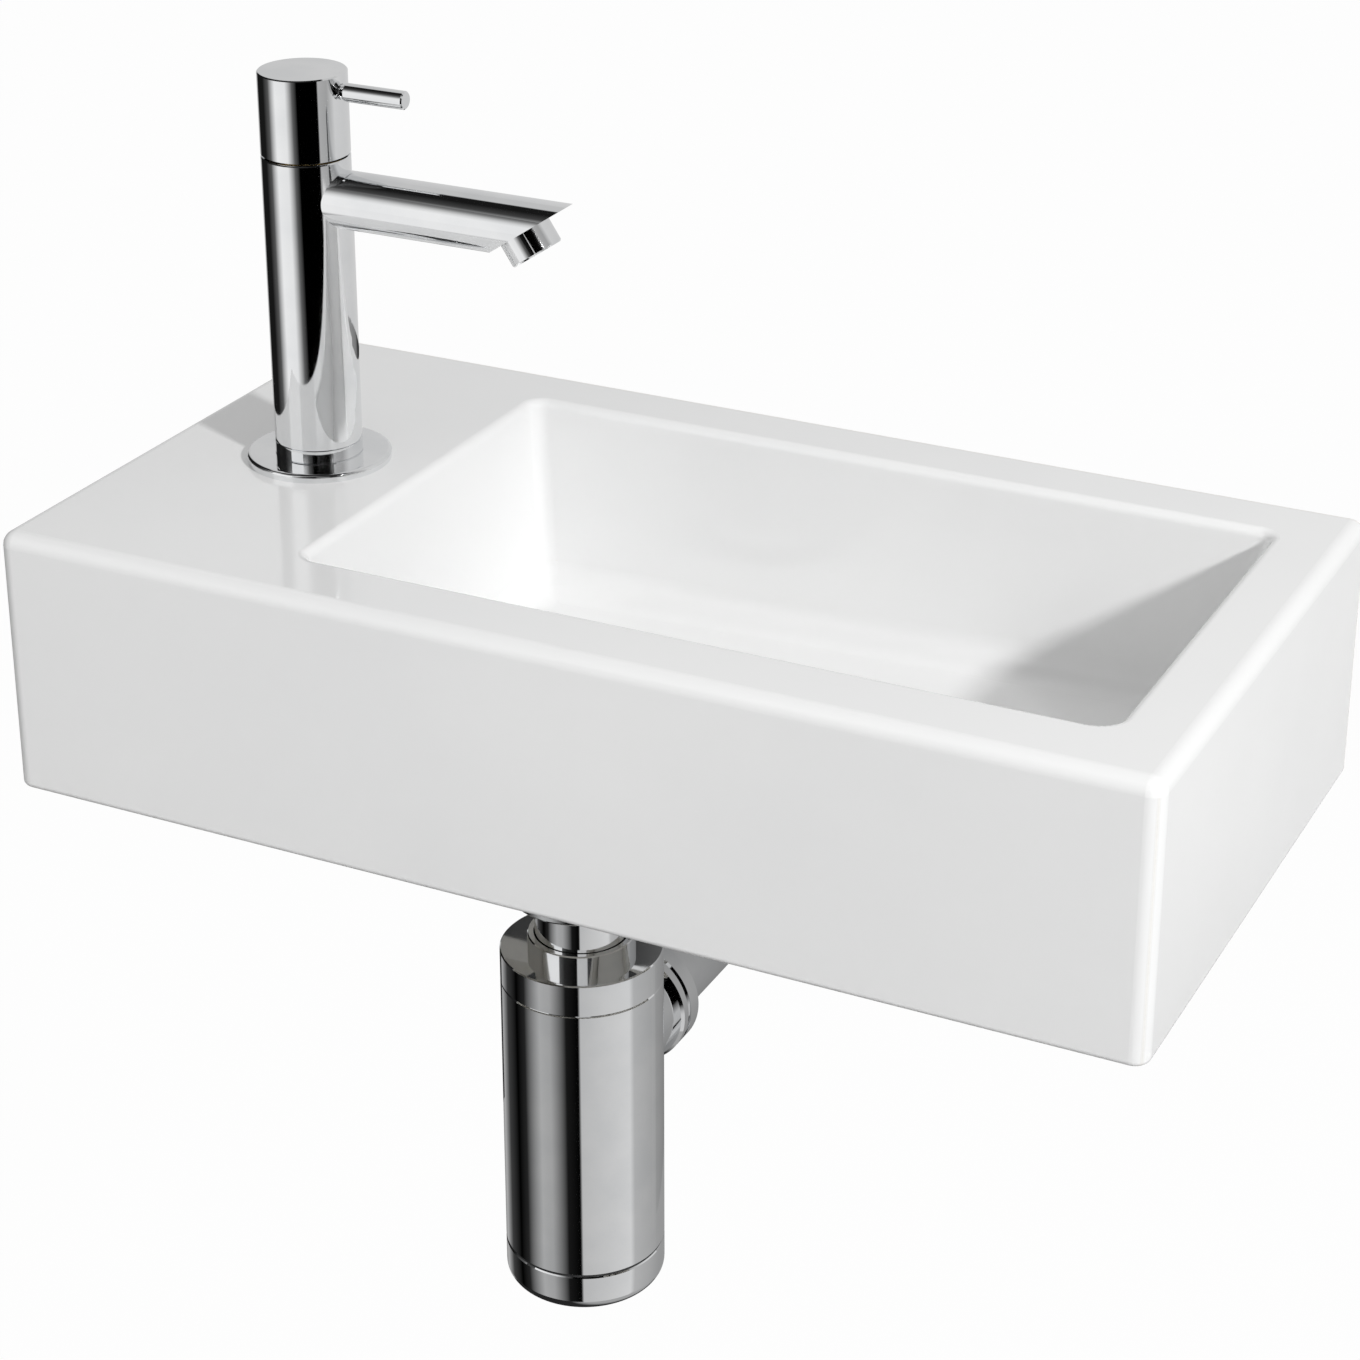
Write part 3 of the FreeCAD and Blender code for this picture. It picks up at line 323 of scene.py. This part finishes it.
tap_axis, tail_radius = axis_of("tap_tail")
tail_low, tail_high = (corner.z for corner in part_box("tap_tail"))
nut_low, nut_high = (corner.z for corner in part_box("tail_backnut"))
thread_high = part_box("tail_rubber_washer")[1].z
tail_bore = 0.006
tail_pitch, tail_thread_depth = 0.001814, 0.00116
relief_width = 0.003
rows_to_pitch = 12
heights = np.arange(tail_low, thread_high, tail_pitch / rows_to_pitch)
outside = thread_radii(tail_radius, tail_thread_depth, tail_pitch, heights)
outside = np.minimum(outside, (tail_radius - tail_thread_depth + heights - tail_low)[:, None])
outside[(heights > nut_low - relief_width) & (heights < nut_low)] = tail_radius - tail_thread_depth
new_piece("threaded_tail", brass, "brass", "basin", "tap_tail", turned_grid(
    tap_axis,
    ([tail_bore], [tail_low]),
    (outside, heights),
    ([tail_radius, tail_radius, tail_bore, tail_bore], [thread_high, tail_high, tail_high, tail_low]),
))
tail_nut_flats = 0.03
new_piece("tail_nut", brass, "brass", "basin", "tail_backnut",
          nut_grid(tap_axis, tail_nut_flats, tail_radius, nut_low, nut_high))
dress(zinc, "tail_clamp_washer")


# The waste: a chromed brass flange and threaded tail with a three-armed spider across its bore, pulled down
# by a bevelled nut. Its domed cover stands loose, on a stem in the spider's hub.

down, outward, up = -90, 0, 90


def arc(middle, height, radius, start, end, steps=9):
    """Radii and heights of an arc: its middle plus its radius times the cosine and sine of each angle."""
    angle = np.radians(np.linspace(start, end, steps))
    return middle + radius * np.cos(angle), height + radius * np.sin(angle)


drain_axis, flange_radius = axis_of("waste_body")
waste_low, waste_high = (corner.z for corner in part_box("waste_body"))
flange_thickness, flange_edge = 0.0022, 0.001
flange_low = waste_high - flange_thickness
waste_tail_radius, waste_bore, throat = 0.02095, 0.018, 0.004
waste_pitch, waste_thread_depth = 0.002309, 0.00148
plain_length = 0.006
plain_low = flange_low - plain_length
heights = np.arange(plain_low, waste_low, -waste_pitch / rows_to_pitch)
outside = thread_radii(waste_tail_radius, waste_thread_depth, waste_pitch, heights)
outside = np.minimum(outside, (waste_tail_radius - waste_thread_depth + heights - waste_low)[:, None])
fitting = turned_grid(
    drain_axis,
    ([waste_bore + throat], [waste_high]),
    arc(flange_radius - flange_edge, waste_high - flange_edge, flange_edge, up, outward),
    ([flange_radius, waste_tail_radius, waste_tail_radius], [flange_low, flange_low, plain_low]),
    (outside, heights),
    ([waste_tail_radius - waste_thread_depth, waste_bore], [waste_low, waste_low]),
    ([waste_bore, waste_bore + throat], [waste_high - throat, waste_high]),
)

# The spider's outline in polar form: the arm's end, then its side, whose angle is the arcsine of half its
# width over the radius, then the hub
arm_end, arm_half_width = 0.0185, 0.0015
hub_radius, stem_hole = 0.0055, 0.0032
spider_drop, spider_height = 0.008, 0.006
spider_top = flange_low - spider_drop
third = math.tau / 3
arm_rows, hub_rows = 8, 6
along_arm = np.linspace(arm_end, hub_radius, arm_rows)
beside_arm = np.arcsin(arm_half_width / along_arm)
round_hub = np.linspace(beside_arm[-1], third / 2, hub_rows)[1:]
half_turns = np.concatenate([[0.0], beside_arm, round_hub])
half_reach = np.concatenate([[arm_end], along_arm, np.full(round_hub.size, hub_radius)])
arm_turns = np.concatenate([-half_turns[:0:-1], half_turns[:-1]])
arm_reach = np.concatenate([half_reach[:0:-1], half_reach[:-1]])
spider_turns = (arm_turns + third * np.arange(3)[:, None]).ravel()
spider_reach = np.tile(arm_reach, (2, 3))
spider = turned_grid(
    drain_axis,
    ([stem_hole], [spider_top]),
    (spider_reach, np.array([spider_top, spider_top - spider_height])),
    ([stem_hole, stem_hole], [spider_top - spider_height, spider_top]),
    angles=spider_turns,
)
new_piece("waste_fitting", chrome, "chrome", "basin", "waste_body", fitting, spider)

cover_radius = axis_of("waste_cover")[1]
stem_low, cover_high = (corner.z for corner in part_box("waste_cover"))
cover_thickness, cover_lip, cover_rise = 0.0034, 0.0011, 0.0012
cover_low = cover_high - cover_thickness
stem_radius, stem_bevel, stem_collar = 0.0031, 0.0005, 0.0046
lip_end, dome_rows = 85, 12
dome = np.linspace(cover_radius - cover_lip, 0.0, dome_rows)
dome_rise = cover_rise * (1.0 - (dome / (cover_radius - cover_lip)) ** 2)
new_piece("domed_cover", chrome, "chrome", "cover", "waste_cover", turned_grid(
    drain_axis,
    ([0.0, stem_radius - stem_bevel, stem_radius], [stem_low, stem_low, stem_low + stem_bevel]),
    ([stem_radius, stem_collar, stem_collar], [spider_top, spider_top, cover_low]),
    arc(cover_radius - cover_lip, cover_low + cover_lip, cover_lip, down, lip_end),
    (dome, cover_low + 2.0 * cover_lip + dome_rise),
))

waste_nut_flats = 0.054
nut_low, nut_high = (corner.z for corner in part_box("waste_backnut"))
new_piece("waste_nut", brass, "brass", "basin", "waste_backnut",
          nut_grid(drain_axis, waste_nut_flats, waste_tail_radius, nut_low, nut_high))


# The trap's inlet: a flanged brass tube, drawn, polished and chromed. A union nut under the waste holds its
# flange.

dress(chrome, "inlet_union_nut", "inlet_tube")


# The bottle trap: a cap that slides on the tube, a body with the outlet's neck, and a cup that unscrews for
# cleaning. All three are turned from brass tube and chromed; the cup's spigot has a coarse thread.

cup_axis, cup_radius = axis_of("trap_cup")
cup_low, spigot_high = (corner.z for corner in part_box("trap_cup"))
cup_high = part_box("trap_cup_seal")[0].z
cup_round, cup_seam, cup_floor = 0.005, 0.0004, 0.0025
round_rows, spigot_rows = 13, 40
spigot_radius, spigot_bore = 0.0261, 0.0241
spigot_pitch, spigot_thread_depth = 0.003, 0.0009
heights = np.linspace(cup_high, spigot_high, spigot_rows)
outside = thread_radii(spigot_radius, spigot_thread_depth, spigot_pitch, heights)
outside = np.minimum(outside, (spigot_radius - spigot_thread_depth + spigot_high - heights)[:, None])
new_piece("screw_cup", chrome, "chrome", "cup", "trap_cup", turned_grid(
    cup_axis,
    ([0.0], [cup_low]),
    arc(cup_radius - cup_round, cup_low + cup_round, cup_round, down, outward, round_rows),
    ([cup_radius, cup_radius - cup_seam], [cup_high - cup_seam, cup_high]),
    (outside, heights),
    ([spigot_bore, spigot_bore, 0.0], [spigot_high, cup_low + cup_floor, cup_low + cup_floor]),
))
dress(chrome, "trap_top_cap", "trap_body")


# The trap's outlet: a tube into the wall, and the grooved union nut that clamps it to the neck. Both are
# turned or drawn from brass and chromed.

dress(chrome, "outlet_union_nut", "outlet_tube")


# The seals: flat rings punched or moulded from black rubber, squeezed where the tap, the waste and the trap
# are screwed together.

rubber, tree, shader = mottled_finish(
    "black_rubber", grains=300.0, detail=4.0, dark=(0.016, 0.016, 0.017), pale=(0.036, 0.036, 0.037),
    start=0.35, smooth=0.55, rough=0.75,
)
link_looks(tree, shader, Normal=add_bump(tree, add_noise(tree, grains=4000.0), strength=0.4, height=0.00005))
dress(
    rubber, "tap_base_gasket", "aerator_seal", "cartridge_seal", "tail_rubber_washer", "waste_top_seal",
    "waste_bottom_seal", "inlet_seal", "trap_top_seal", "trap_cup_seal", "outlet_seal",
)


# The room: a pale floor as far below the basin as in a washroom, and white all round. The fill light comes
# from all sides, a little more of it from the left, the front and above.

def add_sight(tree):
    """1 on rays from the camera and on reflected and refracted ones, 0 on the rest."""
    path = add_node(tree, "ShaderNodeLightPath").outputs
    mirrored = add_math(tree, "MAXIMUM", path["Is Glossy Ray"], path["Is Transmission Ray"])
    return add_math(tree, "MAXIMUM", path["Is Camera Ray"], mirrored)


def studio_sheet(name, points, faces, finish):
    """A sheet of the studio, which is no piece of the object."""
    mesh = bpy.data.meshes.new(name)
    mesh.from_pydata(points, [], faces)
    mesh.materials.append(finish)
    sheet = bpy.data.objects.new(name, mesh)
    bpy.context.scene.collection.objects.link(sheet)
    return sheet


def level_sheet(name, level, reach, finish, middle=(0.0, 0.0)):
    """A level square of the studio, its sides at a reach from its middle."""
    corners = np.array([(-1, -1), (1, -1), (1, 1), (-1, 1)]) * reach + middle
    return studio_sheet(name, [(x, y, level) for x, y in corners], [(0, 1, 2, 3)], finish)


floor_level, floor_reach = -0.85, 6.0
glow_share = 0.97
floor_finish, tree, shader = new_finish("pale_floor")
shader.inputs["Base Color"].default_value = (0.78, 0.78, 0.78, 1.0)
shader.inputs["Roughness"].default_value = 0.9
shown = add_math(tree, "MULTIPLY", add_sight(tree), glow_share)
glow = add_node(tree, "ShaderNodeEmission", Strength=1.0)
lit = add_node(
    tree, "ShaderNodeMixShader", operands=[shown, shader.outputs["BSDF"], glow.outputs["Emission"]]
)
tree.links.new(lit.outputs["Shader"], tree.nodes["Material Output"].inputs["Surface"])
level_sheet("floor", floor_level, floor_reach, floor_finish)

room = bpy.data.worlds.new("white_room")
bpy.context.scene.world = room
room.use_nodes = True
tree = room.node_tree
fill_strength = 0.455
fill_slope = (-0.22, -0.19, 0.07)
bearing = add_node(tree, "ShaderNodeTexCoord").outputs["Generated"]
slope = add_node(tree, "ShaderNodeVectorMath", {"operation": "DOT_PRODUCT"}, [bearing, fill_slope])
fill = add_math(tree, "ADD", slope.outputs["Value"], fill_strength)
backdrop = tree.nodes["Background"]
backdrop.inputs["Color"].default_value = (1.0, 1.0, 1.0, 1.0)
tree.links.new(add_range(tree, add_sight(tree), fill, 1.0, 0.0, 1.0), backdrop.inputs["Strength"])


# The tent: dark and bright cloths on a drum round the object, under a lid and over a ground cloth, and three
# strips within it. They show only in polished surfaces, as those of a photographer's tent do.

def show_only_to(thing, kept_ray):
    """Keep a studio cloth out of every kind of ray but one."""
    for ray in ("camera", "diffuse", "glossy", "transmission", "volume_scatter", "shadow"):
        setattr(thing, f"visible_{ray}", ray == kept_ray)


def glowing_cloth(name):
    """A cloth that shows its own shade: its material, tree and the socket that takes the shade."""
    cloth, tree, _ = new_finish(name)
    glow = add_node(tree, "ShaderNodeEmission", Strength=1.0)
    tree.links.new(glow.outputs["Emission"], tree.nodes["Material Output"].inputs["Surface"])
    return cloth, tree, glow.inputs["Color"]


def as_shares(stops, start, end):
    """Stops whose places are given as shares of the way from a start to an end."""
    return [((place - start) / (end - start), grey) for place, grey in stops]


camera_turn = math.radians(26.28)
tent_middle = (-0.09, -0.1)


def hang_strip(name, radius, start, end, low, high, cloth):
    """A strip of cloth on an upright drum, between two bearings from the camera and two heights. A point is
    the drum's middle plus its radius times the sine and cosine of its bearing; the UV runs round and up."""
    steps = 144
    bearing = camera_turn + np.radians(np.linspace(start, end, steps + 1))
    round_x = tent_middle[0] + radius * np.sin(bearing)
    round_y = tent_middle[1] - radius * np.cos(bearing)
    levels = np.repeat([low, high], steps + 1)
    points = np.stack([np.tile(round_x, 2), np.tile(round_y, 2), levels], axis=1)
    first = np.arange(steps)
    quads = np.stack([first, first + 1, first + steps + 2, first + steps + 1], axis=1)
    strip = studio_sheet(name, points.tolist(), quads.tolist(), cloth)
    corner = np.zeros(len(strip.data.loops), dtype=np.int32)
    strip.data.loops.foreach_get("vertex_index", corner)
    round_and_up = np.stack([corner % (steps + 1) / steps, corner // (steps + 1)], axis=1)
    uv_map = strip.data.uv_layers.new(name="round_and_up")
    uv_map.data.foreach_set("uv", round_and_up.astype(np.float32).ravel())
    show_only_to(strip, "glossy")


# The wall's lower half shows in the trap and its upper half in the tap; each stop is a bearing and a shade
tent_radius, tent_low, tent_high = 0.62, -0.84, 0.7
tent_start, tent_end = -180, 180
trap_cloth_high, tap_cloth_low = -0.42, -0.26
trap_cloth = [
    (-180, 0.3), (-165, 0.3), (-152, 0.45), (-128, 0.05), (-102, 0.0), (-84, 0.02), (-56, 0.45), (-40, 0.4),
    (-17, 0.01), (1, 0.0), (2, 0.55), (69, 0.72), (76, 0.5), (130, 0.35), (180, 0.3),
]
tap_cloth = [
    (-180, 0.68), (-150, 0.55), (-142, 0.01), (-112, 0.01), (-93, 0.1), (-72, 0.95), (-44, 0.9), (-26, 0.12),
    (-14, 0.0), (40, 0.0), (42, 0.46), (68, 0.4), (90, 0.7), (130, 0.66), (180, 0.68),
]
wall_cloth, tree, shade = glowing_cloth("tent_cloth")
where = add_axes(tree, "UV")
trap_shades, tap_shades = (
    add_ramp(tree, where["X"], as_shares(stops, tent_start, tent_end)) for stops in (trap_cloth, tap_cloth)
)
seam_low, seam_high = (
    (level - tent_low) / (tent_high - tent_low) for level in (trap_cloth_high, tap_cloth_low)
)
rise = add_range(tree, where["Y"], 0.0, 1.0, seam_low, seam_high)
sewn = add_node(tree, "ShaderNodeMixRGB", Fac=rise, Color1=trap_shades, Color2=tap_shades)
tree.links.new(sewn.outputs["Color"], shade)
hang_strip("tent_wall", tent_radius, tent_start, tent_end, tent_low, tent_high, wall_cloth)

# The lid is dark over the object and pale towards the front and the wall; each stop is a depth and a shade
lid_front, lid_back = -0.72, 0.08
lid_stops = [(-0.7, 0.7), (-0.58, 0.25), (-0.45, 0.06), (-0.2, 0.01), (0.0, 0.01), (0.04, 0.6)]
lid_cloth, tree, shade = glowing_cloth("lid_cloth")
depth_share = add_range(tree, add_axes(tree)["Y"], 0.0, 1.0, lid_front, lid_back)
tree.links.new(add_ramp(tree, depth_share, as_shares(lid_stops, lid_front, lid_back)), shade)
show_only_to(level_sheet("tent_lid", tent_high, tent_radius, lid_cloth, tent_middle), "glossy")

ground_dark, ground_pale = 0.02, 0.4
dark_end, pale_start = 0.0, 0.2
ground_cloth, tree, shade = glowing_cloth("ground_cloth")
ground_shade = add_range(tree, add_axes(tree)["X"], ground_dark, ground_pale, dark_end, pale_start)
tree.links.new(ground_shade, shade)
show_only_to(level_sheet("ground_cloth", tent_low, tent_radius, ground_cloth, tent_middle), "glossy")


def banded_cloth(name, way, stops):
    """A cloth whose shade changes one way of its strip's UV: X round it or Y up it, from 0 to 1."""
    cloth, tree, shade = glowing_cloth(name)
    tree.links.new(add_ramp(tree, add_axes(tree, "UV")[way], stops), shade)
    return cloth


# A strip behind the basin, which the top of the trap's cap and the outlet's nut reflect
low_radius, low_start, low_end = 0.2, 98, 205
low_bottom, low_top = -0.32, 0.026
low_stops = [(98, 0.42), (112, 0.32), (150, 0.22), (163, 0.04), (205, 0.04)]
low_cloth = banded_cloth("low_cloth", "X", as_shares(low_stops, low_start, low_end))
hang_strip("low_cloth", low_radius, low_start, low_end, low_bottom, low_top, low_cloth)

# A strip in front, which the top of the trap's cap throws on to its collar
collar_radius, collar_start, collar_end = 0.61, -120, 60
collar_bottom, collar_top = 0.17, 0.29
collar_stops = [
    (-120, 0.02), (-96, 0.01), (-68, 0.12), (-48, 0.16), (-30, 0.02), (-4, 0.0), (-3, 0.6), (16, 0.6),
    (18, 0.05),
]
collar_cloth = banded_cloth("collar_cloth", "X", as_shares(collar_stops, collar_start, collar_end))
hang_strip("collar_cloth", collar_radius, collar_start, collar_end, collar_bottom, collar_top, collar_cloth)

# A strip in front on the left, pale below and dark above, which shows along the spout
spout_radius, spout_start, spout_end = 0.6, -75, -42
spout_bottom, spout_top = 0.05, 0.69
spout_shares = [(0.0, 0.95), (0.45, 0.95), (0.6, 0.75), (0.85, 0.24), (1.0, 0.12)]
spout_cloth = banded_cloth("spout_cloth", "Y", spout_shares)
hang_strip("spout_cloth", spout_radius, spout_start, spout_end, spout_bottom, spout_top, spout_cloth)


# The flag: a black cloth below the trap, which keeps some of the light off the basin's underside. Neither
# the camera nor a polished surface sees it.

flag_finish, tree, shader = new_finish("black_flag")
shader.inputs["Base Color"].default_value = (0.02, 0.02, 0.02, 1.0)
flag_level, flag_reach, flag_middle = -0.4, 0.34, (-0.02, -0.1)
show_only_to(level_sheet("black_flag", flag_level, flag_reach, flag_finish, flag_middle), "diffuse")


# The lamp: one small soft box on the right, above and in front. It throws the tap's shadow on the deck and
# the right rim's into the bowl.

lamp_bearing = np.array([1.0, -0.543, 0.67])
lamp_distance = 2.2
soft_box = bpy.data.lights.new("soft_box", "AREA")
soft_box.energy = 32.0
soft_box.size = 0.14
lamp = bpy.data.objects.new("soft_box", soft_box)
lamp.location = lamp_bearing / np.linalg.norm(lamp_bearing) * lamp_distance
lamp.rotation_euler = lamp.location.to_track_quat("Z", "Y").to_euler()
bpy.context.scene.collection.objects.link(lamp)


# The camera stands to the right of the front and looks down, as the photograph's did. Its lens is shifted
# down a little, so that it has to pitch less.

camera_place = (0.41983, -0.95253, 0.4599)
camera_drop = math.radians(23.11)
frame_pixels, shift_pixels = 1360, -160
camera_data = bpy.data.cameras.new("camera")
camera_data.sensor_width = 36.0
camera_data.lens = 86.5
camera_data.shift_y = shift_pixels / frame_pixels
camera = bpy.data.objects.new("camera", camera_data)
camera.location = camera_place
camera.rotation_euler = (math.pi / 2 - camera_drop, 0.0, camera_turn)
bpy.context.scene.collection.objects.link(camera)
bpy.context.scene.camera = camera
bpy.context.scene.view_settings.view_transform = "Standard"
